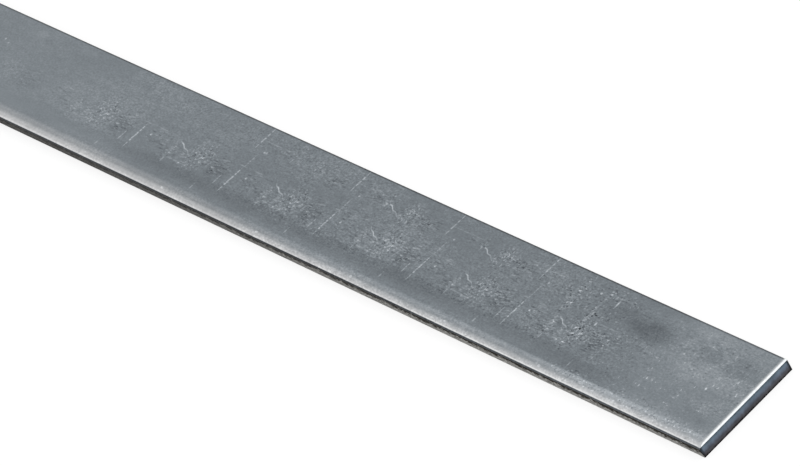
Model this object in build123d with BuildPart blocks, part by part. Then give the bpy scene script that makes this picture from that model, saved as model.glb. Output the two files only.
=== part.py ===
# Steel flat bar, slit from plate and cropped to length, all dimensions in millimetres.
#
# A blade leaves three zones on each edge that it cuts: the upper face rolls over into the
# edge, then comes an upright burnished land, then a fracture that leans back to a crisp foot.
# The edge at -Y was slit with the most clearance, so it rolls over the furthest. Each end was
# linished after cropping, so it has a bevel that blends into the face and ends at a corner.
# X runs along the bar, Y across it and Z up through it, from the middle of the underside.

import os

from build123d import *

bar_length = 304.8
bar_width = 25.4
bar_thickness = 3.175

near_roll_reach = 2.6  # how far in from the edge at -Y the face starts to drop
near_roll_depth = 0.75  # how far it has dropped where it meets the land
near_fracture_lean = 0.19  # how far the foot stands back from the land
far_roll_radius = 0.5  # of the tight roll at +Y, whose fracture is upright
end_bevel_reach = 0.85  # how far in from an end its bevel starts
end_bevel_depth = 0.4
end_fracture_lean = 0.1
fracture_height = 1.15  # from the foot of an edge up to its land
corner_radius = 0.15  # of the four upright corners

half_length = bar_length / 2
half_width = bar_width / 2

with BuildPart() as flat_bar:
    with BuildSketch(Plane.YZ) as section:
        with BuildLine():
            near_roll = EllipticalCenterArc(
                (near_roll_reach - half_width, bar_thickness - near_roll_depth),
                near_roll_reach,
                near_roll_depth,
                start_angle=90,
                arc_size=90,
            )
            far_roll = CenterArc(
                (half_width - far_roll_radius, bar_thickness - far_roll_radius),
                far_roll_radius,
                0,
                90,
            )
            Polyline(
                near_roll @ 1,
                (-half_width, fracture_height),
                (near_fracture_lean - half_width, 0),
                (half_width, 0),
                far_roll @ 0,
            )
            Line(far_roll @ 1, near_roll @ 0)
        make_face()
    extrude(amount=half_length, both=True)
    with BuildSketch(Plane.XZ) as side_view:
        with BuildLine():
            end_bevel = TangentArc(
                (half_length - end_bevel_reach, bar_thickness),
                (half_length, bar_thickness - end_bevel_depth),
                tangent=(1, 0),
            )
            Polyline(
                end_bevel @ 1,
                (half_length, fracture_height),
                (half_length - end_fracture_lean, 0),
                (0, 0),
            )
            Line(end_bevel @ 0, (0, bar_thickness))
            mirror(about=Plane.YZ)
        make_face()
    extrude(amount=half_width, both=True, mode=Mode.INTERSECT)
    with BuildSketch() as plan_view:
        RectangleRounded(bar_length, bar_width, corner_radius)
    extrude(amount=bar_thickness, mode=Mode.INTERSECT)

flat_bar.part.label = "flat_bar"

os.makedirs("parts", exist_ok=True)
export_step(flat_bar.part, "parts/flat_bar.step")
print(f"flat_bar: {flat_bar.part.volume / 1000:.2f} cm3")
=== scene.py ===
import math

import bpy
from mathutils import Matrix, Vector


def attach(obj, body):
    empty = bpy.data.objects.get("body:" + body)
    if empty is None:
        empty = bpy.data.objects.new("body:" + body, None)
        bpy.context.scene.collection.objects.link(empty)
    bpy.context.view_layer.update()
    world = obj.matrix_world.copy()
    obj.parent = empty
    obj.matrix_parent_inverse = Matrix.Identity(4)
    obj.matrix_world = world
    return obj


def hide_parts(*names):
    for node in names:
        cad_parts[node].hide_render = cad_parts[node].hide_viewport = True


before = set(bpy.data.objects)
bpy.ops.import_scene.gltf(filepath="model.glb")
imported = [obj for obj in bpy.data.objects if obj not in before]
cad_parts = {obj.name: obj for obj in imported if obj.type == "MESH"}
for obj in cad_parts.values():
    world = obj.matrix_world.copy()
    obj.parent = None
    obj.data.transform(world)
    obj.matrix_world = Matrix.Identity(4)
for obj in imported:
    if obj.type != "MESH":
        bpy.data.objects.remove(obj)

mm = 0.001
maths, vectorMaths, mapRange = "ShaderNodeMath", "ShaderNodeVectorMath", "ShaderNodeMapRange"
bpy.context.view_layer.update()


def linearColour(hexCode):
    channels = [int(hexCode[i:i + 2], 16) / 255 for i in (1, 3, 5)]
    return (*[c / 12.92 if c <= 0.04045 else ((c + 0.055) / 1.055) ** 2.4 for c in channels], 1)


def addNode(tree, kind, inputs=None, stops=(), **settings):
    # an input is a value, a socket, or a node whose first live output is wanted, and its key
    # is a name or a number among the live inputs; stops are a colour ramp's places and colours
    node = tree.nodes.new(kind)
    for name, value in settings.items():
        setattr(node, name, value)
    for index, (position, hexCode) in enumerate(stops):
        ramp = node.color_ramp.elements
        stop = ramp[index] if index < len(ramp) else ramp.new(position)
        stop.position, stop.color = position, linearColour(hexCode)
    live = [socket for socket in node.inputs if socket.enabled]
    for key, source in (inputs or {}).items():
        socket = live[key] if isinstance(key, int) else next(s for s in live if s.name == key)
        if isinstance(source, bpy.types.Node):
            source = next(s for s in source.outputs if s.enabled)
        if isinstance(source, bpy.types.NodeSocket):
            tree.links.new(source, socket)
        else:
            socket.default_value = source
    return node


camera = {
    "aim": (41.27, 2.29, 3.175),  # mm, on the upper face
    "distance": 1447.5,  # mm
    "azimuth": 67.877,  # degrees, 0 looks along +Y
    "elevation": 36.455,
    "roll": -30.859,
    "lens": 319.92,
    "sensor": 36,
    "clip": (0.05, 50),  # m
}


def placeCamera():
    azimuth, elevation = math.radians(camera["azimuth"]), math.radians(camera["elevation"])
    back = Vector((math.sin(azimuth) * math.cos(elevation),
                   -math.cos(azimuth) * math.cos(elevation), math.sin(elevation)))
    lens = bpy.data.cameras.new("camera")
    lens.lens, lens.sensor_width = camera["lens"], camera["sensor"]
    lens.clip_start, lens.clip_end = camera["clip"]
    eye = bpy.data.objects.new("camera", lens)
    bpy.context.scene.collection.objects.link(eye)
    eye.location = (Vector(camera["aim"]) + back * camera["distance"]) * mm
    level = (-back).to_track_quat("-Z", "Y").to_matrix()
    eye.rotation_euler = (level @ Matrix.Rotation(math.radians(camera["roll"]), 3, "Z")).to_euler()
    bpy.context.scene.camera = eye


placeCamera()
print("camera placed")


bar = {
    "name": "flat_bar_stock",
    "Length": 304.8,  # mm, as are all the lengths here
    "Width": 25.4,
    "Thickness": 3.175,
    "Near Roll Reach": 2.6,  # how far in from the edge at -Y the face starts to drop
    "Near Roll Depth": 0.75,  # how far it has dropped where it meets the land
    "Far Roll Radius": 0.5,
    "End Bevel Reach": 0.85,
    "End Bevel Depth": 0.4,
    "Near Fracture Lean": 0.19,  # how far a foot stands back from its land
    "End Fracture Lean": 0.1,
    "Fracture Height": 1.15,
    "Fracture Wander": 0.14,  # how far the line between land and fracture strays
    "Fracture Relief": 0.05,
    "Corner Radius": 0.15,
    "Cells Along": 520,
    "Cells Across": 56,
    "Cells High": 19,
    "End Bevel Cells": 10,
    "Near Roll Cells": 16,
    "Far Roll Cells": 8,
    "Seed": 4,
}
# real tearing is finer than this: the fracture's relief is only as fine as its cells can carry
fractureNoise = {
    "wanderSize": 7.0,
    "tearSize": 0.9,
    "tearDetail": 3.0,
    "tearRoughness": 0.7,
}
creaseAngle = 15  # degrees, past which an edge is crisp

noiseMiddle = 0.5  # the value that a noise texture strays from

face = {
    "stops": ((0.0, "#2b2f33"), (0.25, "#53585d"), (0.5, "#7b8287"), (0.64, "#91979c"),
              (0.75, "#a1a7ac"), (0.88, "#b6bcc1"), (1.0, "#cdd3d8")),
    "rubbedAndHighlitStops": ((0.0, "#2b2f33"), (0.25, "#53585d"), (0.5, "#808184"), (0.64, "#959697"),
                    (0.75, "#a5a6a7"), (0.88, "#bbbbbc"), (1.0, "#d2d3d3")),
    "tone": 0.463,  # where the plain face lies on the stops
    "upperFrom": (1.4, 1.8),  # mm, as are all the places and sizes here
    "calmStrip": (0.0, -7.8, 400.0, 2.6, -0.5),  # a spot along the rolled edge with less grain
    "calmClouds": (-0.12, 0.14, 0.45),  # clouds with the least and the most grain, and the least
    "printClouds": (-0.1, 0.1, 0.3),
    "roughness": 0.36,
    "bump": 0.3,
    "bumpHeight": 0.02,
}
# real pickled grain is a few hundredths of a millimetre, so it is drawn coarser, to show
faceTextures = {
    "grain": {"size": 0.45, "scales": (0.7, 1, 1), "detail": 2.0, "roughness": 0.65, "share": 0.56},
    "mottle": {"size": 1.6, "scales": (0.6, 1, 1), "detail": 3.0, "roughness": 0.6, "share": 0.27},
    "cloud": {"size": 12.0, "scales": (0.45, 1, 1), "detail": 3.0, "roughness": 0.5, "share": 0.16},
}
# along the bar, from its middle: where each change starts and is full, and its values there
faceChanges = {
    "worn": (-90.0, -45.0, 0.5, 1.0, "SMOOTHSTEP"),
    "printed": (-70.0, 10.0, 0.0, 1.0, "SMOOTHSTEP"),
    "palerRight": (112.0, 132.0, 0.0, 0.085, "SMOOTHSTEP"),
    "palerLeft": (10.0, -70.0, 0.0, 0.038, "SMOOTHSTEP"),
    "ridged": (30.0, 95.0, 0.0, 0.12, "SMOOTHSTEP"),
    "sanded": (10.0, 100.0, 0.25, 1.0, "LINEAR"),
    "crisp": (40.0, 100.0, 0.0, 0.06, "LINEAR"),
    "neutralReach": (25.0, -30.0, 2.6, 4.0, "LINEAR"),
}
# in from the near edge: where each band starts and is full, and its strength; the bands are
# worn metal in part and a painted highlight in part, and the turn-down beyond them a painted shade
nearEdge = {
    "rimShift": 0.09,
    "widening": 0.0009,  # for each mm along the bar
    "bands": ((3.2, 2.2, 0.14), (2.95, 2.7, "crisp"), (1.7, 0.75, 0.21), (0.35, -0.1, 0.07),
              (0.3, 0.0, "ridged")),
    "sand": (3.0, 2.4, 0.17),
    "neutral": -0.4,  # where the band is colourless all through, worn metal in part and a painted highlight in part
    # a painted shade where the rolled edge turns down
    "lipShade": (-0.14, -0.36, -0.9),
    "lipShadeDrift": -0.0005,
    "lipShadeInner": -0.16,
}
farEdge = {"line": (0.7, 0.2, -0.44)}
# real flecks, dashes, hairs and dots are a tenth of a millimetre wide or less: these are drawn
# coarser, as coarse as they need to show
marks = {
    "fleckSize": (0.44, 0.3),  # along and across
    "dashSize": (1.1, 0.27),
    "speckSize": (0.34, 0.75),
    "cellSpread": (-1.0, 1.02),
    "cellPower": 3.0,
    "hairSpacing": 1.3,
    "hairNoise": (0.05, 0.012),  # how far the noise is from its middle at a hair's rim and core
    "breakSpacing": 0.7,
    "breakNoise": (0.46, 0.56),
    "dotSize": (2.5, 2 / 3),
    "dotNoise": (0.40, 0.54, 0.1),
    "dashField": (0.0, 2.0, 400.0, 12.5, 0.14),
    "speckField": (136.0, 0.0, 30.0, 16.0, 0.40),
    "speckNoise": (0.16, 0.36),
    "speckMottle": (0.03, 0.13),
    "softCore": 0.25,
    "flatCore": 0.6,
    "lineCore": 0.7,
}
roll = {
    "turn": 30.45,  # from one print of the leveller roll to the next, at the last of them
    "slip": 0.000495,  # per mm, by which the prints spread along the bar
    "lastPrint": 84.4,  # where along the bar its last whole print starts
    "printLength": 31.5,
    "lead": 0.05,  # the share of a print that lies before its start
    "skew": 0.05,
}
scratch = {
    "slant": 0.43,
    "leadSlant": 0.6,
    "waveTurn": 2.6,  # radians for each mm
    "waveHeight": 0.15,
    "strokes": ((1.8, 4.4, 0.23, 0.22), (0.8, 1.5, 0.28, 0.18)),
}
rollPrints = (
    {"start": 0.0, "fadeIn": (-120.0, -50.0), "linesFadeIn": (-62.0, -48.0),
     "scratchFadeIn": (-62.0, -40.0), "fadeOut": (115.0, 109.0), "scratch": (12.3, 0.1),
     "lines": ((0.15, -3.0, 0.26, 4.3, 0.36), (11.7, -3.8, 0.24, 3.0, 0.18),
               (24.9, -8.2, 0.24, 1.3, 0.22), (28.7, -4.2, 0.24, 1.6, 0.24),
               (3.5, -1.2, 0.36, 0.34, 0.42), (16.3, -4.7, 0.34, 0.3, 0.30),
               (2.5, 1.2, 7.0, 0.2, 0.12), (15.0, -4.5, 5.0, 0.2, 0.08),
               (18.6, -11.4, 0.5, 0.4, 0.24)),
     "flecks": ((19.6, -1.2, 5.4, 7.2, 0.38), (11.6, -2.6, 1.4, 4.8, 0.27),
                (26.4, -1.3, 4.6, 4.0, 0.26)),
     "dashes": ((25.8, -1.3, 6.2, 5.0, 0.42), (5.6, -1.2, 5.0, 3.0, 0.32),
                (13.0, -3.0, 8.0, 4.0, 0.22)),
     "hairs": ((18.9, -0.9, 4.2, 6.4, 0.32), (11.6, -2.4, 1.4, 4.4, 0.20),
               (25.0, -1.6, 5.0, 4.4, 0.16)),
     "haze": ((20.0, -0.6, 4.4, 5.6, 0.01), (11.5, -2.7, 0.8, 0.9, 0.08),
              (26.4, -2.8, 4.4, 3.2, -0.07))},
    {"start": -2.0, "fadeIn": (-15.0, 30.0), "linesFadeIn": (-30.0, -18.0),
     "scratchFadeIn": (5.0, 25.0), "fadeOut": (92.0, 88.0), "scratch": (12.4, 7.3),
     "lines": ((0.13, 9.3, 0.24, 3.6, 0.30), (2.37, 3.0, 0.22, 2.4, 0.18),
               (11.4, 7.6, 0.24, 1.6, 0.16), (3.4, 6.1, 0.34, 0.3, 0.30),
               (5.0, 8.8, 6.0, 0.2, 0.10)),
     "flecks": ((19.6, 7.2, 4.8, 5.0, 0.38), (11.3, 8.2, 1.8, 2.6, 0.28)),
     "dashes": ((25.2, 6.9, 5.6, 3.4, 0.40), (7.0, 8.0, 3.8, 1.8, 0.30)),
     "hairs": ((19.2, 7.2, 4.2, 4.8, 0.34), (11.2, 8.0, 1.4, 2.4, 0.18),
               (25.0, 6.8, 4.6, 2.8, 0.18)),
     "haze": ((19.4, 8.0, 4.2, 3.6, 0.015), (26.0, 6.8, 4.4, 2.4, -0.04))},
)
# single marks and broad differences, from the middle of the bar
faceBlemishes = ((25.0, -6.7, 125.0, 2.8, -0.082),
                 (118.9, 5.8, 9.0, 3.6, -0.13), (109.0, 7.0, 8.0, 3.4, -0.05),
                 (136.0, 6.6, 5.0, 2.6, -0.06), (146.0, 6.2, 6.5, 3.4, -0.08),
                 (139.0, 1.8, 14.0, 3.4, 0.06), (133.0, 11.0, 9.0, 2.2, 0.04),
                 (145.0, -7.2, 9.0, 2.4, -0.05), (137.0, -10.5, 42.0, 1.6, 0.08),
                 (142.0, -11.3, 27.0, 2.0, -0.115), (84.0, -11.3, 50.0, 0.9, -0.05),
                 (113.0, -8.2, 15.0, 2.4, -0.045),
                 (94.2, 8.3, 2.6, 1.8, 0.05), (105.6, 8.1, 0.32, 1.5, 0.36),
                 (99.7, 8.8, 0.5, 0.42, 0.44), (105.1, 2.1, 0.36, 0.8, 0.42),
                 (108.9, 2.5, 5.0, 0.3, 0.12), (107.0, 9.6, 5.0, 0.3, 0.08),
                 (101.8, 2.0, 0.5, 12.0, 0.06), (94.8, 3.0, 0.45, 12.0, 0.05),
                 (-9.1, 6.2, 0.5, 0.5, 0.25), (-104.4, 5.1, 0.4, 0.4, 0.28),
                 (-102.6, 4.5, 0.4, 0.4, 0.20), (-96.2, 10.0, 3.4, 1.3, 0.05),
                 (-78.7, 10.6, 4.0, 1.2, 0.04))
# where the printed stretch is flecked all over, and where it is most flecked
faceFlecks = ((0.0, 2.0, 400.0, 12.5, 0.17), (102.0, 4.0, 1.2, 15.0, 0.60),
              (94.8, 4.0, 1.1, 15.0, 0.50), (106.0, 1.0, 11.0, 5.5, 0.42),
              (101.0, 7.0, 14.0, 5.0, 0.24), (136.0, 1.0, 24.0, 15.0, 0.12),
              (127.0, -9.8, 34.0, 2.0, 0.34), (106.0, 8.5, 7.0, 5.0, 0.26),
              (118.5, -1.5, 8.5, 8.0, 0.17))


def spotted(tree, place, spots, texture, tone, core=marks["softCore"]):
    # adds each oval spot's share of a texture to a tone: all of it within the spot's core, a
    # part of its size, and none at its rim
    for along, across, halfAlong, halfAcross, strength in spots:
        offset = addNode(tree, vectorMaths, {0: place, 1: (along, across, 0)},
                         operation="SUBTRACT")
        share = addNode(tree, vectorMaths, {0: offset, 1: (halfAlong, halfAcross, 1)},
                        operation="DIVIDE")
        rim = addNode(tree, vectorMaths, {0: share}, operation="LENGTH")
        spot = addNode(tree, mapRange, {
            "Value": rim.outputs["Value"], "From Min": 1.0, "From Max": core},
            interpolation_type="SMOOTHSTEP")
        drawn = addNode(tree, maths, {0: spot, 1: texture}, operation="MULTIPLY")
        tone = addNode(tree, maths, {0: drawn, 1: strength, 2: tone}, operation="MULTIPLY_ADD")
    return tone


def drawnOut(tree, place, texture):
    # a random pattern of a size in mm, drawn out along each axis whose scale is under one
    scaled = addNode(tree, vectorMaths, {0: place, 1: texture["scales"]}, operation="MULTIPLY")
    return addNode(tree, "ShaderNodeTexNoise", {
        "Vector": scaled, "Scale": 1 / texture["size"], "Detail": texture["detail"],
        "Roughness": texture["roughness"]})


def flecked(tree, place, size):
    # a net of small random cells, most of them near none and a few far above or below it
    scaled = addNode(tree, vectorMaths, {0: place, 1: (1 / size[0], 1 / size[1], 1)},
                     operation="MULTIPLY")
    cells = addNode(tree, "ShaderNodeTexVoronoi", {"Vector": scaled, "Scale": 1.0})
    lowest, highest = marks["cellSpread"]
    spread = addNode(tree, mapRange, {
        "Value": cells.outputs["Color"], "To Min": lowest, "To Max": highest})
    return addNode(tree, maths, {0: spread, 1: marks["cellPower"]}, operation="POWER")


def haired(tree, place):
    # short bright hair lines that curl, where a noise passes its middle value
    noise = addNode(tree, "ShaderNodeTexNoise", {
        "Vector": place, "Scale": 1 / marks["hairSpacing"], "Detail": 2.0, "Distortion": 1.0})
    away = addNode(tree, maths, {0: noise, 1: noiseMiddle}, operation="SUBTRACT")
    distance = addNode(tree, maths, {0: away}, operation="ABSOLUTE")
    rim, core = marks["hairNoise"]
    hair = addNode(tree, mapRange, {"Value": distance, "From Min": rim, "From Max": core})
    breaks = addNode(tree, "ShaderNodeTexNoise", {
        "Vector": place, "Scale": 1 / marks["breakSpacing"], "Detail": 1.0})
    broken, whole = marks["breakNoise"]
    unbroken = addNode(tree, mapRange, {"Value": breaks, "From Min": broken, "From Max": whole})
    return addNode(tree, maths, {0: hair, 1: unbroken}, operation="MULTIPLY")


def scratched(tree, along, across, start, share, tone):
    # a scratch that comes down to its start on a slant, then wriggles along the bar
    startAlong, startAcross = start
    run = addNode(tree, maths, {0: along, 1: startAlong}, operation="SUBTRACT")
    behind = addNode(tree, maths, {0: run, 1: 0.0}, operation="MINIMUM")
    slanted = addNode(tree, maths, {0: run, 1: scratch["slant"], 2: across},
                      operation="MULTIPLY_ADD")
    led = addNode(tree, maths, {0: behind, 1: scratch["leadSlant"], 2: slanted},
                  operation="MULTIPLY_ADD")
    wave = addNode(tree, maths, {0: run, 1: scratch["waveTurn"]}, operation="MULTIPLY")
    waved = addNode(tree, maths, {0: wave}, operation="SINE")
    strayed = addNode(tree, maths, {0: waved, 1: -scratch["waveHeight"], 2: led},
                      operation="MULTIPLY_ADD")
    place = addNode(tree, "ShaderNodeCombineXYZ", {"X": run, "Y": strayed})
    strokes = [(middle, startAcross, *stroke) for middle, *stroke in scratch["strokes"]]
    return spotted(tree, place, strokes, share, tone)


def rollPrinted(tree, axes, turns, row, tone):
    # flecks, dashes, hairs, dotted lines and a scratch that come again at each turn
    shift = roll["lead"] - row["start"] / roll["turn"]
    shifted = addNode(tree, maths, {0: turns, 1: shift}, operation="ADD")
    turned = addNode(tree, maths, {0: shifted}, operation="FRACT")
    square = addNode(tree, mapRange, {
        "Value": turned, "To Min": -roll["lead"] * roll["printLength"],
        "To Max": (1 - roll["lead"]) * roll["printLength"]})
    along = addNode(tree, maths, {0: axes["Y"], 1: -roll["skew"], 2: square},
                    operation="MULTIPLY_ADD")
    place = addNode(tree, "ShaderNodeCombineXYZ", {"X": along, "Y": axes["Y"]})
    fades = [
        addNode(tree, mapRange, {
            "Value": axes["X"], "From Min": row[name][0], "From Max": row[name][1]},
            interpolation_type="SMOOTHSTEP")
        for name in ("fadeIn", "linesFadeIn", "scratchFadeIn", "fadeOut")]
    share, lineShare, scratchShare = (
        addNode(tree, maths, {0: fades[3], 1: fade}, operation="MULTIPLY")
        for fade in fades[:3])

    flecks, dashes, hairs = (flecked(tree, place, marks["fleckSize"]),
                             flecked(tree, place, marks["dashSize"]), haired(tree, place))
    dotAlong, dotAcross = marks["dotSize"]
    dotPlace = addNode(tree, vectorMaths, {
        0: place, 1: (1 / dotAlong, 1 / dotAcross, 1)}, operation="MULTIPLY")
    dotNoise = addNode(tree, "ShaderNodeTexNoise", {
        "Vector": dotPlace, "Scale": 1.0, "Detail": 1.0})
    gap, dot, gapShare = marks["dotNoise"]
    dots = addNode(tree, mapRange, {
        "Value": dotNoise, "From Min": gap, "From Max": dot, "To Min": gapShare})
    tone = spotted(tree, place, row["haze"], share, tone)
    for name, texture, gain in (("flecks", flecks, share), ("dashes", dashes, share),
                                ("hairs", hairs, share), ("lines", dots, lineShare)):
        drawn = addNode(tree, maths, {0: texture, 1: gain}, operation="MULTIPLY")
        core = marks["lineCore" if name == "lines" else "softCore"]
        tone = spotted(tree, place, row[name], drawn, tone, core)
    return scratched(tree, along, axes["Y"], row["scratch"], scratchShare, tone)


def newFinish(name):
    # an empty material, and the place of each of its points in mm
    material = bpy.data.materials.new(name)
    material.use_nodes = True
    tree = material.node_tree
    tree.nodes.clear()
    place = addNode(tree, "ShaderNodeTexCoord").outputs["Object"]
    inMm = addNode(tree, vectorMaths, {0: place, "Scale": 1 / mm}, operation="SCALE")
    return material, tree, inMm, addNode(tree, "ShaderNodeSeparateXYZ", {0: inMm}).outputs


def millRolledFace():
    # mild steel flat, hot rolled, pickled and levelled: a cloudy blue-grey with a fine dull
    # grain, bright flecks and dotted lines where the leveller roll printed at each turn, and an
    # edge that rolls over, worn bright and colourless in part and a painted highlight in part,
    # with a painted shade where it turns down
    material, tree, inMm, axes = newFinish("pickledMillSteel")
    flatPlace = addNode(tree, "ShaderNodeCombineXYZ", {"X": axes["X"], "Y": axes["Y"]})
    lower, upper = face["upperFrom"]
    isUpper = addNode(tree, mapRange, {"Value": axes["Z"], "From Min": lower, "From Max": upper})
    changes = {
        name: addNode(tree, mapRange, {
            "Value": axes["X"], "From Min": start, "From Max": full, "To Min": low,
            "To Max": high}, interpolation_type=kind)
        for name, (start, full, low, high, kind) in faceChanges.items()}

    # grain, mottle and clouds, all drawn out along the rolling direction
    textures = {}
    for name, texture in faceTextures.items():
        noise = drawnOut(tree, inMm, texture)
        textures[name] = addNode(tree, maths, {0: noise, 1: noiseMiddle}, operation="SUBTRACT")
    unworn = spotted(tree, flatPlace, (face["calmStrip"],), 1.0, changes["worn"])
    calm, grained, least = face["calmClouds"]
    rough = addNode(tree, mapRange, {
        "Value": textures["cloud"], "From Min": calm, "From Max": grained, "To Min": least,
        "To Max": unworn})
    tone = face["tone"]
    for name, gain in (("grain", rough), ("mottle", rough), ("cloud", 1.0)):
        scaled = addNode(tree, maths, {0: textures[name], 1: gain}, operation="MULTIPLY")
        tone = addNode(tree, maths, {
            0: scaled, 1: faceTextures[name]["share"], 2: tone}, operation="MULTIPLY_ADD")
    plainTone = tone

    # turns of the leveller roll since its last whole print
    back = addNode(tree, maths, {0: roll["lastPrint"], 1: axes["X"]}, operation="SUBTRACT")
    spread = addNode(tree, maths, {0: back, 1: -roll["slip"], 2: 1.0}, operation="MULTIPLY_ADD")
    spreadBack = addNode(tree, maths, {0: back, 1: spread}, operation="MULTIPLY")
    turns = addNode(tree, maths, {0: spreadBack, 1: -1 / roll["turn"]}, operation="MULTIPLY")
    for row in rollPrints:
        tone = rollPrinted(tree, axes, turns, row, tone)

    # flecks over the whole printed stretch, in clouds, and bright specks by the cropped end
    bare, full, least = face["printClouds"]
    clouded = addNode(tree, mapRange, {
        "Value": textures["cloud"], "From Min": bare, "From Max": full, "To Min": least})
    printed = addNode(tree, maths, {0: changes["printed"], 1: clouded}, operation="MULTIPLY")
    fineFlecks = flecked(tree, flatPlace, marks["fleckSize"])
    scattered, dashed = (
        addNode(tree, maths, {0: texture, 1: printed}, operation="MULTIPLY")
        for texture in (fineFlecks, flecked(tree, flatPlace, marks["dashSize"])))
    tone = spotted(tree, flatPlace, faceFlecks, scattered, tone, marks["flatCore"])
    tone = spotted(tree, flatPlace, (marks["dashField"],), dashed, tone, marks["flatCore"])
    faint, clear = marks["speckNoise"]
    bright = addNode(tree, mapRange, {
        "Value": flecked(tree, flatPlace, marks["speckSize"]), "From Min": faint,
        "From Max": clear})
    none, most = marks["speckMottle"]
    gathered = addNode(tree, mapRange, {
        "Value": textures["mottle"], "From Min": none, "From Max": most, "To Max": bright})
    tone = spotted(tree, flatPlace, (marks["speckField"],), gathered, tone)

    # broad differences: paler at both ends, duller in a strip beside the rolled edge
    for name in ("palerRight", "palerLeft"):
        tone = addNode(tree, maths, {0: tone, 1: changes[name]}, operation="ADD")
    tone = spotted(tree, flatPlace, faceBlemishes, 1.0, tone)

    # round the near edge: a long pale shoulder, then a band worn bright in part and a painted
    # highlight in part, both wider towards the end at -X, then a dark rim where the edge turns
    # down, a painted shade, that is wider towards the other end
    edgeLine = bar["Width"] / 2 - bar["Thickness"]
    around = addNode(tree, maths, {0: axes["Y"], 1: axes["Z"]}, operation="ADD")
    widened = addNode(tree, maths, {0: axes["X"], 1: nearEdge["widening"], 2: around},
                      operation="MULTIPLY_ADD")
    fromEdge = addNode(tree, maths, {
        0: widened, 1: edgeLine - nearEdge["rimShift"]}, operation="ADD")
    # the dark band where the near edge turns down is a painted shade
    drifted = addNode(tree, maths, {0: axes["X"], 1: nearEdge["lipShadeDrift"], 2: around},
                      operation="MULTIPLY_ADD")
    fromLip = addNode(tree, maths, {0: drifted, 1: edgeLine}, operation="ADD")
    bands = [(fromEdge, *band) for band in nearEdge["bands"]] + [(fromLip, *nearEdge["lipShade"])]
    for distance, start, full, strength in bands:
        band = addNode(tree, mapRange, {
            "Value": distance, "From Min": start, "From Max": full,
            "To Max": changes.get(strength, strength)}, interpolation_type="SMOOTHSTEP")
        tone = addNode(tree, maths, {0: tone, 1: band}, operation="ADD")
    start, full, strength = nearEdge["sand"]
    sand = addNode(tree, maths, {0: fineFlecks, 1: changes["sanded"]}, operation="MULTIPLY")
    isBand = addNode(tree, mapRange, {
        "Value": fromEdge, "From Min": start, "From Max": full, "To Max": strength})
    tone = addNode(tree, maths, {0: sand, 1: isBand, 2: tone}, operation="MULTIPLY_ADD")

    # round the far edge: a thin dark line
    start, full, strength = farEdge["line"]
    farSide = addNode(tree, maths, {0: axes["Z"], 1: axes["Y"]}, operation="SUBTRACT")
    fromFar = addNode(tree, maths, {0: farSide, 1: edgeLine}, operation="ADD")
    farLine = addNode(tree, mapRange, {
        "Value": fromFar, "From Min": start, "From Max": full, "To Max": strength},
        interpolation_type="SMOOTHSTEP")
    tone = addNode(tree, maths, {0: tone, 1: farLine}, operation="ADD")

    # the face below has the grain, mottle and clouds alone
    tone = addNode(tree, "ShaderNodeMix", {"Factor": isUpper, "A": plainTone, "B": tone},
                   data_type="FLOAT")
    # a more colourless ramp along the near edge, worn metal in part and a painted highlight in part
    dull, rubbed = (addNode(tree, "ShaderNodeValToRGB", {0: tone}, stops=face[name])
                    for name in ("stops", "rubbedAndHighlitStops"))
    isRubbed = addNode(tree, mapRange, {
        "Value": fromEdge, "From Min": changes["neutralReach"], "From Max": nearEdge["neutral"]},
        interpolation_type="SMOOTHSTEP")
    colour = addNode(tree, "ShaderNodeMix", {"Factor": isRubbed, "A": dull, "B": rubbed},
                     data_type="RGBA")
    relief = addNode(tree, maths, {0: textures["grain"], 1: textures["mottle"]}, operation="ADD")
    bump = addNode(tree, "ShaderNodeBump", {
        "Height": relief, "Strength": face["bump"], "Distance": face["bumpHeight"] * mm})
    shader = addNode(tree, "ShaderNodeBsdfPrincipled", {
        "Base Color": colour, "Metallic": 1.0, "Roughness": face["roughness"], "Normal": bump})
    # the end's bevel is kept off the painted shade where the near edge turns down
    unlipped = addNode(tree, mapRange, {
        "Value": fromLip, "From Min": nearEdge["lipShade"][1], "From Max": nearEdge["lipShadeInner"],
        "To Max": isUpper})
    linished = linishedBevel(tree, axes, textures, unlipped, shader)
    addNode(tree, "ShaderNodeOutputMaterial", {"Surface": linished})
    return material


bevel = {
    "dark": "#a9acae",
    "bright": "#cfd1d2",
    "start": 0.80,  # mm in from the end
    "full": 0.24,
    "ragged": 0.3,  # how much the mottle moves its inner line
    "roughness": 0.24,
}


def linishedBevel(tree, axes, textures, unlipped, plain):
    # bare steel from a worn belt: bright and almost white, with a soft line where the belt
    # ran out on the face. The belt's own lines are finer than the grain that stands for them
    outward = addNode(tree, maths, {0: axes["X"]}, operation="ABSOLUTE")
    around = addNode(tree, maths, {0: axes["Z"], 1: outward}, operation="SUBTRACT")
    fromEnd = addNode(tree, maths, {
        0: around, 1: bar["Length"] / 2 - bar["Thickness"]}, operation="ADD")
    ragged = addNode(tree, maths, {
        0: textures["mottle"], 1: bevel["ragged"], 2: fromEnd}, operation="MULTIPLY_ADD")
    share = addNode(tree, mapRange, {
        "Value": ragged, "From Min": bevel["start"], "From Max": bevel["full"],
        "To Max": unlipped}, interpolation_type="SMOOTHSTEP")
    lineNoise = addNode(tree, maths, {0: textures["grain"], 1: noiseMiddle}, operation="ADD")
    colour = addNode(tree, "ShaderNodeMix", {
        "Factor": lineNoise, "A": linearColour(bevel["dark"]),
        "B": linearColour(bevel["bright"])}, data_type="RGBA")
    bright = addNode(tree, "ShaderNodeBsdfPrincipled", {
        "Base Color": colour, "Metallic": 1.0, "Roughness": bevel["roughness"]})
    return addNode(tree, "ShaderNodeMixShader", {0: share, 1: plain, 2: bright})


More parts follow.
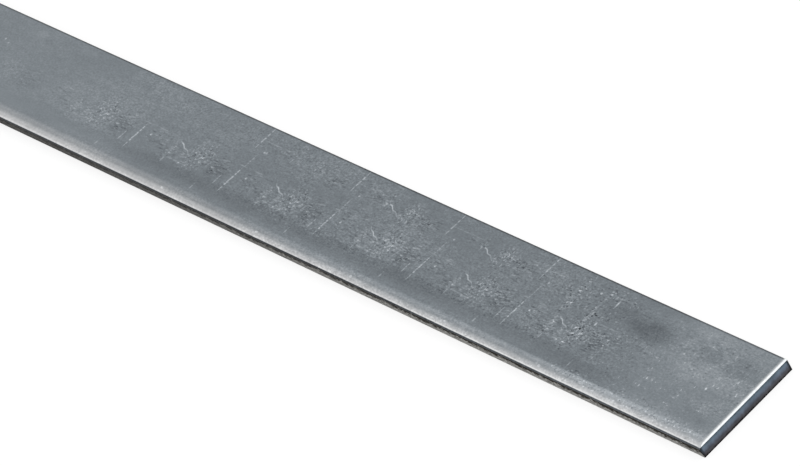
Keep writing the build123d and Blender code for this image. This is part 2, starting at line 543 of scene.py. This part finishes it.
# real tear streaks are a tenth of a millimetre or less, so those of both cut sides are drawn
# coarser, as coarse as they need to show
slitEdge = {
    # the land's colours are a painted dark reflection on burnished metal
    "land": "#403f3e",
    "deeperPaintedLandReflection": "#2b2720",
    "darkerFracture": "#565553",
    "palerFracture": "#a09f9c",
    "paintedLandDeepening": (-30.0, 90.0),  # mm along the bar, from where it starts to where it is full
    "fracturePaling": (-70.0, 90.0),
    "boundaryRun": (-70.0, 150.0),
    "boundary": (1.85, 1.46),  # how high up it is at either end of that run
    "boundaryBlur": 0.35,
    "streaks": {"size": 0.45, "scales": (0.4, 1, 1), "detail": 4.0, "roughness": 0.7},
    "streakShift": 1.4,  # how far up or down streaks may move the boundary
    "streakNoise": (0.36, 0.64),
    "streakTone": (1.4, 0.6),
    "strays": {"size": 3.0, "scales": (1, 1, 0), "detail": 4.0, "roughness": 0.8},
    "strayShift": 1.1,
    "seam": 0.76,
    "seamReach": (0.08, 0.27),
    "seamTone": 0.5,
    "roughness": 0.85,
    "bump": 0.6,
    "bumpHeight": 0.05,
}
croppedEnd = {
    # from the foot up; the near-black stops at the foot are a painted shade
    "stops": ((0.0, "#151314"), (0.09, "#2a2729"), (0.15, "#454347"), (0.25, "#4e4e53"),
              (0.35, "#4e5159"), (0.46, "#5f6774"), (0.6, "#64717f"), (0.74, "#5f6e7a"),
              (0.8, "#505c66")),
    "streaks": {"size": 0.6, "scales": (1, 1, 0.5), "detail": 3.0, "roughness": 0.6},
    "streakShift": 0.4,
    "cornerShadeReach": (0.7, 0.3),
    "cornerShadeTone": 0.22,
    "patches": {"size": 1.7, "scales": (1, 1, 1), "detail": 3.0, "roughness": 0.6},
    "patchNoise": (0.3, 0.7),
    "patchTone": (0.72, 1.28),
    "roughness": 0.42,
    "bump": 0.4,
    "bumpHeight": 0.02,
}


def slitSteelEdge():
    # a slit edge of mild steel: a burnished land with drag marks, painted dark as a dark
    # reflection, over a paler matt fracture that is torn into short streaks
    material, tree, inMm, axes = newFinish("slitSteelEdge")
    streaks, strays = (drawnOut(tree, inMm, slitEdge[name]) for name in ("streaks", "strays"))
    strayed, torn = (
        addNode(tree, mapRange, {
            "Value": noise, "To Min": -slitEdge[shift], "To Max": slitEdge[shift]})
        for noise, shift in ((strays, "strayShift"), (streaks, "streakShift")))
    straying = addNode(tree, maths, {0: axes["Z"], 1: strayed}, operation="ADD")
    height = addNode(tree, maths, {0: straying, 1: torn}, operation="ADD")
    start, end = slitEdge["boundaryRun"]
    startHeight, endHeight = slitEdge["boundary"]
    boundary = addNode(tree, mapRange, {
        "Value": axes["X"], "From Min": start, "From Max": end, "To Min": startHeight,
        "To Max": endHeight})
    aboveBoundary = addNode(tree, maths, {0: height, 1: boundary}, operation="SUBTRACT")
    isLand = addNode(tree, mapRange, {
        "Value": aboveBoundary, "From Min": -slitEdge["boundaryBlur"],
        "From Max": slitEdge["boundaryBlur"]})

    # the fracture is paler towards the end at +X, where the land's painted dark reflection is
    # deeper and browner
    zones = []
    for change, old, new, kind in (
            ("fracturePaling", "darkerFracture", "palerFracture", "SMOOTHSTEP"),
            ("paintedLandDeepening", "land", "deeperPaintedLandReflection", "LINEAR")):
        start, full = slitEdge[change]
        changed = addNode(tree, mapRange, {
            "Value": axes["X"], "From Min": start, "From Max": full}, interpolation_type=kind)
        zones.append(addNode(tree, "ShaderNodeMix", {
            "Factor": changed, "A": linearColour(slitEdge[old]),
            "B": linearColour(slitEdge[new])}, data_type="RGBA"))
    fracture, land = zones
    zone = addNode(tree, "ShaderNodeMix", {"Factor": isLand, "A": fracture, "B": land},
                   data_type="RGBA")

    # a thin dark seam runs along the fracture
    fromSeam = addNode(tree, maths, {0: straying, 1: slitEdge["seam"]}, operation="SUBTRACT")
    aside = addNode(tree, maths, {0: fromSeam}, operation="ABSOLUTE")
    core, rim = slitEdge["seamReach"]
    seam = addNode(tree, mapRange, {
        "Value": aside, "From Min": core, "From Max": rim, "To Min": slitEdge["seamTone"]})
    lowest, highest = slitEdge["streakNoise"]
    palest, darkest = slitEdge["streakTone"]
    streakTone = addNode(tree, mapRange, {
        "Value": streaks, "From Min": lowest, "From Max": highest, "To Min": palest,
        "To Max": darkest})
    shade = addNode(tree, maths, {0: streakTone, 1: seam}, operation="MULTIPLY")
    finishMetal(material, zone, shade, streaks, slitEdge)
    return material


def croppedSteelEnd():
    # an end cropped by a guillotine: a smooth steel-blue land over a dark torn fracture, nearly
    # black at its foot as a painted shade
    material, tree, inMm, axes = newFinish("croppedSteelEnd")
    streaks, patches = (
        drawnOut(tree, inMm, croppedEnd[name]) for name in ("streaks", "patches"))
    strayed = addNode(tree, mapRange, {
        "Value": streaks, "To Min": -croppedEnd["streakShift"],
        "To Max": croppedEnd["streakShift"]})
    height = addNode(tree, maths, {0: axes["Z"], 1: strayed}, operation="ADD")
    rise = addNode(tree, maths, {0: height, 1: 1 / bar["Thickness"]}, operation="MULTIPLY")
    # colour by height, with a painted shade at the foot
    zone = addNode(tree, "ShaderNodeValToRGB", {0: rise}, stops=croppedEnd["stops"])

    # the two upright corners are painted dark as shade, and the rest is patchy
    across = addNode(tree, maths, {0: axes["Y"]}, operation="ABSOLUTE")
    acrossStrayed = addNode(tree, maths, {0: strayed, 1: across}, operation="ADD")
    start, full = croppedEnd["cornerShadeReach"]
    corner = addNode(tree, mapRange, {
        "Value": acrossStrayed, "From Min": bar["Width"] / 2 - start,
        "From Max": bar["Width"] / 2 - full, "To Min": 1.0, "To Max": croppedEnd["cornerShadeTone"]})
    lowest, highest = croppedEnd["patchNoise"]
    darkest, palest = croppedEnd["patchTone"]
    patchTone = addNode(tree, mapRange, {
        "Value": patches, "From Min": lowest, "From Max": highest, "To Min": darkest,
        "To Max": palest})
    shade = addNode(tree, maths, {0: corner, 1: patchTone}, operation="MULTIPLY")
    finishMetal(material, zone, shade, streaks, croppedEnd)
    return material


def finishMetal(material, zone, shade, streaks, finish):
    # bare metal in the zone's colour, shaded, with the streaks for its relief
    tree = material.node_tree
    colour = addNode(tree, vectorMaths, {0: zone, "Scale": shade}, operation="SCALE")
    bump = addNode(tree, "ShaderNodeBump", {
        "Height": streaks, "Strength": finish["bump"], "Distance": finish["bumpHeight"] * mm})
    shader = addNode(tree, "ShaderNodeBsdfPrincipled", {
        "Base Color": colour, "Metallic": 1.0, "Roughness": finish["roughness"],
        "Normal": bump})
    addNode(tree, "ShaderNodeOutputMaterial", {"Surface": shader})


def raised(tree, plan, height):
    # a place on the bar's plan, brought to a height
    axes = addNode(tree, "ShaderNodeSeparateXYZ", {0: plan}).outputs
    return addNode(tree, "ShaderNodeCombineXYZ", {"X": axes["X"], "Y": axes["Y"], "Z": height})


def shearedBarTree():
    tree = bpy.data.node_groups.new("shearedBar", "GeometryNodeTree")
    for name, value in bar.items():
        if isinstance(value, str):
            continue
        kind = "NodeSocketInt" if isinstance(value, int) else "NodeSocketFloat"
        tree.interface.new_socket(name, in_out="INPUT", socket_type=kind)
    for name in ("Face Finish", "Long Edge Finish", "End Finish"):
        tree.interface.new_socket(name, in_out="INPUT", socket_type="NodeSocketMaterial")
    tree.interface.new_socket("Bar", in_out="OUTPUT", socket_type="NodeSocketGeometry")
    given = addNode(tree, "NodeGroupInput").outputs

    # a cube with gridded sides, whose points are carried to their places on the bar
    vertices = [addNode(tree, maths, {0: given[name], 1: 1.0}, operation="ADD")
                for name in ("Cells Along", "Cells Across", "Cells High")]
    cube = addNode(tree, "GeometryNodeMeshCube", {
        "Size": (2, 2, 2), "Vertices X": vertices[0], "Vertices Y": vertices[1],
        "Vertices Z": vertices[2]})
    place = addNode(tree, "GeometryNodeInputPosition")
    placeAxes = addNode(tree, "ShaderNodeSeparateXYZ", {0: place}).outputs
    side = addNode(tree, vectorMaths, {0: place}, operation="SIGN")
    span = addNode(tree, vectorMaths, {0: place}, operation="ABSOLUTE")

    # the near edge rolls over further than the far one, and both ends have the same bevel
    isNear = addNode(tree, maths, {0: placeAxes["Y"], 1: 0.0}, operation="LESS_THAN")
    edge = {}
    for measure, far, near in (("reach", given["Far Roll Radius"], given["Near Roll Reach"]),
                               ("depth", given["Far Roll Radius"], given["Near Roll Depth"]),
                               ("cells", given["Far Roll Cells"], given["Near Roll Cells"]),
                               ("lean", 0.0, given["Near Fracture Lean"])):
        edge[measure] = addNode(tree, "ShaderNodeMix", {"Factor": isNear, "A": far, "B": near},
                                data_type="FLOAT")
    halfTurn = addNode(tree, maths, {
        0: given["End Bevel Depth"], 1: given["End Bevel Reach"]}, operation="ARCTAN2")
    bevelTurn = addNode(tree, maths, {0: halfTurn, 1: 2.0}, operation="MULTIPLY")
    bevelSine = addNode(tree, maths, {0: bevelTurn}, operation="SINE")
    bevelRadius = addNode(tree, maths, {
        0: given["End Bevel Reach"], 1: bevelSine}, operation="DIVIDE")
    turn = addNode(tree, "ShaderNodeCombineXYZ", {"X": bevelTurn, "Y": math.pi / 2})
    reach = addNode(tree, "ShaderNodeCombineXYZ", {
        "X": given["End Bevel Reach"], "Y": edge["reach"]})
    wide = addNode(tree, "ShaderNodeCombineXYZ", {"X": bevelRadius, "Y": edge["reach"]})
    deep = addNode(tree, "ShaderNodeCombineXYZ", {"X": bevelRadius, "Y": edge["depth"]})
    foot = addNode(tree, "ShaderNodeCombineXYZ", {
        "X": given["End Fracture Lean"], "Y": edge["lean"]})

    # the cells of each half are shared between the flat and the roll
    cells = addNode(tree, "ShaderNodeCombineXYZ", {
        "X": given["Cells Along"], "Y": given["Cells Across"], "Z": 1.0})
    rollCells = addNode(tree, "ShaderNodeCombineXYZ", {
        "X": given["End Bevel Cells"], "Y": edge["cells"], "Z": 0.25})
    rollShare = addNode(tree, vectorMaths, {0: rollCells, 1: cells}, operation="DIVIDE")
    rollStart = addNode(tree, vectorMaths, {
        0: rollShare, 1: (-2, -2, -2), 2: (1, 1, 1)}, operation="MULTIPLY_ADD")
    size = addNode(tree, "ShaderNodeCombineXYZ", {
        "X": given["Length"], "Y": given["Width"], "Z": 1.0})
    half = addNode(tree, vectorMaths, {0: size, "Scale": 0.5}, operation="SCALE")
    flatHalf = addNode(tree, vectorMaths, {0: half, 1: reach}, operation="SUBTRACT")
    flatPart = addNode(tree, mapRange, {
        "Vector": span, "From Min": (0, 0, 0), "From Max": rollStart,
        "To Min": (0, 0, 0), "To Max": flatHalf}, data_type="FLOAT_VECTOR")

    # each roll is part of an ellipse, in even steps of its slope
    slope = addNode(tree, mapRange, {
        "Vector": span, "From Min": rollStart, "From Max": (1, 1, 1),
        "To Min": (0, 0, 0), "To Max": turn}, data_type="FLOAT_VECTOR")
    sine = addNode(tree, vectorMaths, {0: slope}, operation="SINE")
    cosine = addNode(tree, vectorMaths, {0: slope}, operation="COSINE")
    run = addNode(tree, vectorMaths, {0: sine, 1: wide}, operation="MULTIPLY")
    rise = addNode(tree, vectorMaths, {0: cosine, 1: deep}, operation="MULTIPLY")
    riseSquared = addNode(tree, vectorMaths, {0: rise, 1: rise}, operation="MULTIPLY")
    sumSquared = addNode(tree, vectorMaths, {0: run, 1: run, 2: riseSquared},
                         operation="MULTIPLY_ADD")
    norm = addNode(tree, vectorMaths, {0: sumSquared, 1: (0.5, 0.5, 0.5)}, operation="POWER")
    runShare = addNode(tree, vectorMaths, {0: run, 1: norm}, operation="DIVIDE")
    riseShare = addNode(tree, vectorMaths, {0: rise, 1: norm}, operation="DIVIDE")
    outline = addNode(tree, vectorMaths, {0: runShare, 1: wide, 2: flatPart},
                      operation="MULTIPLY_ADD")
    stillUp = addNode(tree, vectorMaths, {0: riseShare, 1: deep}, operation="MULTIPLY")
    drop = addNode(tree, vectorMaths, {0: deep, 1: stillUp}, operation="SUBTRACT")
    dropAxes = addNode(tree, "ShaderNodeSeparateXYZ", {0: drop}).outputs
    lower = addNode(tree, maths, {0: dropAxes["X"], 1: dropAxes["Y"]}, operation="MAXIMUM")
    top = addNode(tree, maths, {0: given["Thickness"], 1: lower}, operation="SUBTRACT")
    height = addNode(tree, mapRange, {
        "Value": placeAxes["Z"], "From Min": -1.0, "From Max": 1.0, "To Min": 0.0,
        "To Max": top})

    # below a line that wanders, the fracture leans back to its foot, with a torn surface
    ground = addNode(tree, vectorMaths, {0: outline, 1: side}, operation="MULTIPLY")
    spot = raised(tree, ground, height)
    wandering = addNode(tree, "ShaderNodeTexNoise", {
        "Vector": ground, "W": given["Seed"], "Scale": 1 / (fractureNoise["wanderSize"] * mm),
        "Detail": 4.0}, noise_dimensions="4D")
    stray = addNode(tree, maths, {0: wandering, 1: noiseMiddle}, operation="SUBTRACT")
    strayed = addNode(tree, maths, {
        0: stray, 1: given["Fracture Wander"], 2: given["Fracture Height"]},
        operation="MULTIPLY_ADD")
    depth = addNode(tree, mapRange, {"Value": height, "From Min": strayed, "From Max": 0.0})
    tearing = addNode(tree, "ShaderNodeTexNoise", {
        "Vector": spot, "W": given["Seed"], "Scale": 1 / (fractureNoise["tearSize"] * mm),
        "Detail": fractureNoise["tearDetail"], "Roughness": fractureNoise["tearRoughness"]},
        noise_dimensions="4D")
    # four times depth and its rest, so that the tearing is deepest halfway down
    above = addNode(tree, maths, {0: 4.0, 1: depth}, operation="MULTIPLY")
    toFoot = addNode(tree, maths, {0: 1.0, 1: depth}, operation="SUBTRACT")
    torn = addNode(tree, maths, {0: above, 1: toFoot}, operation="MULTIPLY")
    relief = addNode(tree, maths, {0: torn, 1: tearing}, operation="MULTIPLY")
    pit = addNode(tree, maths, {0: relief, 1: given["Fracture Relief"]}, operation="MULTIPLY")
    pits = addNode(tree, "ShaderNodeCombineXYZ", {"X": pit, "Y": pit})
    leaned = addNode(tree, vectorMaths, {0: foot, "Scale": depth}, operation="SCALE")
    inset = addNode(tree, vectorMaths, {0: leaned, 1: pits}, operation="ADD")
    share = addNode(tree, vectorMaths, {0: outline, 1: half}, operation="DIVIDE")
    setBack = addNode(tree, vectorMaths, {0: inset, 1: share}, operation="MULTIPLY")
    trimmed = addNode(tree, vectorMaths, {0: outline, 1: setBack}, operation="SUBTRACT")

    # the square beyond each upright corner's centre is pressed into a quarter disc
    radius = addNode(tree, "ShaderNodeCombineXYZ", {
        "X": given["Corner Radius"], "Y": given["Corner Radius"], "Z": 1.0})
    core = addNode(tree, vectorMaths, {0: half, 1: radius}, operation="SUBTRACT")
    past = addNode(tree, vectorMaths, {0: trimmed, 1: core}, operation="SUBTRACT")
    beyond = addNode(tree, vectorMaths, {0: past, 1: (0, 0, 0)}, operation="MAXIMUM")
    part = addNode(tree, vectorMaths, {0: beyond, 1: radius}, operation="DIVIDE")
    partAxes = addNode(tree, "ShaderNodeSeparateXYZ", {0: part}).outputs
    swapped = addNode(tree, "ShaderNodeCombineXYZ", {"X": partAxes["Y"], "Y": partAxes["X"]})
    squared = addNode(tree, vectorMaths, {0: swapped, 1: swapped}, operation="MULTIPLY")
    left = addNode(tree, vectorMaths, {
        0: squared, 1: (-0.5, -0.5, -0.5), 2: (1, 1, 1)}, operation="MULTIPLY_ADD")
    squeeze = addNode(tree, vectorMaths, {0: left, 1: (0.5, 0.5, 0.5)}, operation="POWER")
    pressed = addNode(tree, vectorMaths, {0: beyond, 1: squeeze}, operation="MULTIPLY")
    inner = addNode(tree, vectorMaths, {0: trimmed, 1: core}, operation="MINIMUM")
    rounded = addNode(tree, vectorMaths, {0: inner, 1: pressed}, operation="ADD")
    signed = addNode(tree, vectorMaths, {0: rounded, 1: side}, operation="MULTIPLY")
    final = raised(tree, signed, height)

    # what the map of the surface needs: which side of the cube, and the rolls laid flat
    normal = addNode(tree, "GeometryNodeInputNormal")
    panelled = addNode(tree, "GeometryNodeStoreNamedAttribute", {
        "Geometry": cube, "Name": "panel", "Value": normal},
        data_type="FLOAT_VECTOR", domain="FACE")
    laid = addNode(tree, vectorMaths, {0: outline, 1: drop}, operation="ADD")
    laidSigned = addNode(tree, vectorMaths, {0: laid, 1: side}, operation="MULTIPLY")
    unrolled = raised(tree, laidSigned, height)
    mapped = addNode(tree, "GeometryNodeStoreNamedAttribute", {
        "Geometry": panelled, "Name": "unrolled", "Value": unrolled},
        data_type="FLOAT_VECTOR", domain="POINT")

    shaped = addNode(tree, "GeometryNodeSetPosition", {"Geometry": mapped, "Position": final})
    smooth = addNode(tree, "GeometryNodeSetShadeSmooth", {
        "Geometry": shaped, "Shade Smooth": True})
    edgeAngle = addNode(tree, "GeometryNodeInputMeshEdgeAngle").outputs["Unsigned Angle"]
    crisp = addNode(tree, "FunctionNodeCompare", {"A": edgeAngle, "B": math.radians(creaseAngle)},
                    operation="GREATER_THAN")
    creased = addNode(tree, "GeometryNodeSetShadeSmooth", {
        "Geometry": smooth, "Selection": crisp, "Shade Smooth": False}, domain="EDGE")

    realised = addNode(tree, "GeometryNodeRealizeInstances", {"Geometry": creased})
    panel = addNode(tree, "GeometryNodeInputNamedAttribute", {"Name": "panel"},
                    data_type="FLOAT_VECTOR")
    turned = addNode(tree, vectorMaths, {0: panel}, operation="ABSOLUTE")
    facing = addNode(tree, "ShaderNodeSeparateXYZ", {0: turned}).outputs
    finished = realised
    for finish, axis in (("Face Finish", "Z"), ("Long Edge Finish", "Y"), ("End Finish", "X")):
        chosen = addNode(tree, "FunctionNodeCompare", {"A": facing[axis], "B": 0.5},
                         operation="GREATER_THAN")
        finished = addNode(tree, "GeometryNodeSetMaterial", {
            "Geometry": finished, "Selection": chosen, "Material": given[finish]})
    addNode(tree, "NodeGroupOutput", {"Bar": finished})
    return tree


def makeBar(finishes):
    stock = bpy.data.objects.new(bar["name"], bpy.data.meshes.new(bar["name"]))
    bpy.context.scene.collection.objects.link(stock)
    grower = stock.modifiers.new("shearedBar", "NODES")
    tree = shearedBarTree()
    grower.node_group = tree
    for socket in tree.interface.items_tree:
        if socket.in_out == "OUTPUT":
            continue
        value = finishes.get(socket.name, bar.get(socket.name))
        grower[socket.identifier] = value * mm if isinstance(value, float) else value
    evaluated = stock.evaluated_get(bpy.context.evaluated_depsgraph_get())
    mesh = bpy.data.meshes.new_from_object(evaluated)
    mesh.name = bar["name"]
    stock.modifiers.remove(grower)
    stock.data = mesh
    layOutMap(mesh)
    return stock


def layOutMap(mesh):
    # the surface laid flat in strips, each half the bar's length, one above another
    laid = [Vector(value.vector) / mm for value in mesh.attributes["unrolled"].data]
    panels = [Vector(value.vector) for value in mesh.attributes["panel"].data]
    layer = mesh.uv_layers.new(name="OFBake")
    gap = 0.8  # mm between strips
    halfLength = max(p.x for p in laid)
    nearReach = -min(p.y for p in laid)
    girth = max(p.y for p in laid) + nearReach
    sheet = halfLength + 2 * gap
    rows, row = {}, gap
    for key, tall in (("top", girth), ("bottom", girth), ("near", bar["Thickness"]),
                      ("far", bar["Thickness"])):
        for right in (False, True):
            rows[key, right] = row
            row += tall + gap
    for polygon, panel in zip(mesh.polygons, panels):
        loops = range(polygon.loop_start, polygon.loop_start + polygon.loop_total)
        corners = [laid[mesh.loops[i].vertex_index] for i in loops]
        right = sum(c.x for c in corners) > 0
        for i, corner in zip(loops, corners):
            alongHalf = corner.x if right else corner.x + halfLength
            if abs(panel.z) > 0.5:
                key = "top" if panel.z > 0 else "bottom"
                u, v = gap + alongHalf, rows[key, right] + corner.y + nearReach
            elif abs(panel.y) > 0.5:
                key = "far" if panel.y > 0 else "near"
                u, v = gap + alongHalf, rows[key, right] + corner.z
            else:
                shift = 0 if panel.x < 0 else girth + gap
                u, v = gap + shift + corner.y + nearReach, row + corner.z
            layer.data[i].uv = (u / sheet, v / sheet)
    for name in ("unrolled", "panel"):
        mesh.attributes.remove(mesh.attributes[name])


stock = makeBar({
    "Face Finish": millRolledFace(),
    "Long Edge Finish": slitSteelEdge(),
    "End Finish": croppedSteelEnd(),
})
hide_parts("flat_bar")
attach(stock, "root")
print("bar made:", len(stock.data.polygons), "faces")


studio = {
    "floorSize": 8.0,  # m
    "floor": "#8f8f8f",
    "floorGlow": 0.78,
    "worldLight": 0.8,
    "white": (1, 1, 1, 1),
    # each lamp's direction from the bar, distance, width and depth in m, and radiance
    "lamps": {
        "endSoftbox": ((0.62, 0.303, 0.72), 1.2, 1.0, 1.0, 1.0),
        "sideStrip": ((-0.745, -0.3, 0.5), 1.3, 0.4, 0.8, 0.4),
    },
}


def isSeen(tree):
    # one where the camera looks, straight or through a reflection or glass
    path = addNode(tree, "ShaderNodeLightPath").outputs
    seen = addNode(tree, maths, {0: path["Is Camera Ray"], 1: path["Is Glossy Ray"]},
                   operation="ADD")
    return addNode(tree, maths, {0: seen, 1: path["Is Transmission Ray"]}, operation="ADD",
                   use_clamp=True)


def makeFloor():
    half = studio["floorSize"] / 2
    mesh = bpy.data.meshes.new("floor")
    mesh.from_pydata([(-half, -half, 0), (half, -half, 0), (half, half, 0), (-half, half, 0)],
                     [], [(0, 1, 2, 3)])
    floor = bpy.data.objects.new("floor", mesh)
    bpy.context.scene.collection.objects.link(floor)
    material = bpy.data.materials.new("paleFloor")
    material.use_nodes = True
    tree = material.node_tree
    tree.nodes.clear()
    paint = addNode(tree, "ShaderNodeBsdfDiffuse", {"Color": linearColour(studio["floor"])})
    glow = addNode(tree, "ShaderNodeEmission", {
        "Color": studio["white"], "Strength": studio["floorGlow"]})
    lit = addNode(tree, "ShaderNodeAddShader", {0: paint, 1: glow})
    mix = addNode(tree, "ShaderNodeMixShader", {0: isSeen(tree), 1: paint, 2: lit})
    addNode(tree, "ShaderNodeOutputMaterial", {"Surface": mix})
    mesh.materials.append(material)


def makeWorld():
    world = bpy.data.worlds.new("studio")
    bpy.context.scene.world = world
    world.use_nodes = True
    tree = world.node_tree
    tree.nodes.clear()
    strength = addNode(tree, mapRange, {
        "Value": isSeen(tree), "To Min": studio["worldLight"], "To Max": 1.0})
    sky = addNode(tree, "ShaderNodeBackground", {"Color": studio["white"], "Strength": strength})
    addNode(tree, "ShaderNodeOutputWorld", {"Surface": sky})


def addLamp(name, towards, distance, width, depth, radiance):
    lamp = bpy.data.lights.new(name, "AREA")
    lamp.shape = "RECTANGLE"
    lamp.size, lamp.size_y = width, depth
    lamp.energy = radiance * math.pi * width * depth
    holder = bpy.data.objects.new(name, lamp)
    bpy.context.scene.collection.objects.link(holder)
    direction = Vector(towards).normalized()
    holder.location = direction * distance
    holder.rotation_euler = (-direction).to_track_quat("-Z", "Y").to_euler()


makeFloor()
makeWorld()
for name, lamp in studio["lamps"].items():
    addLamp(name, *lamp)

view = bpy.context.scene.view_settings
view.view_transform = "Standard"
print("studio lit")
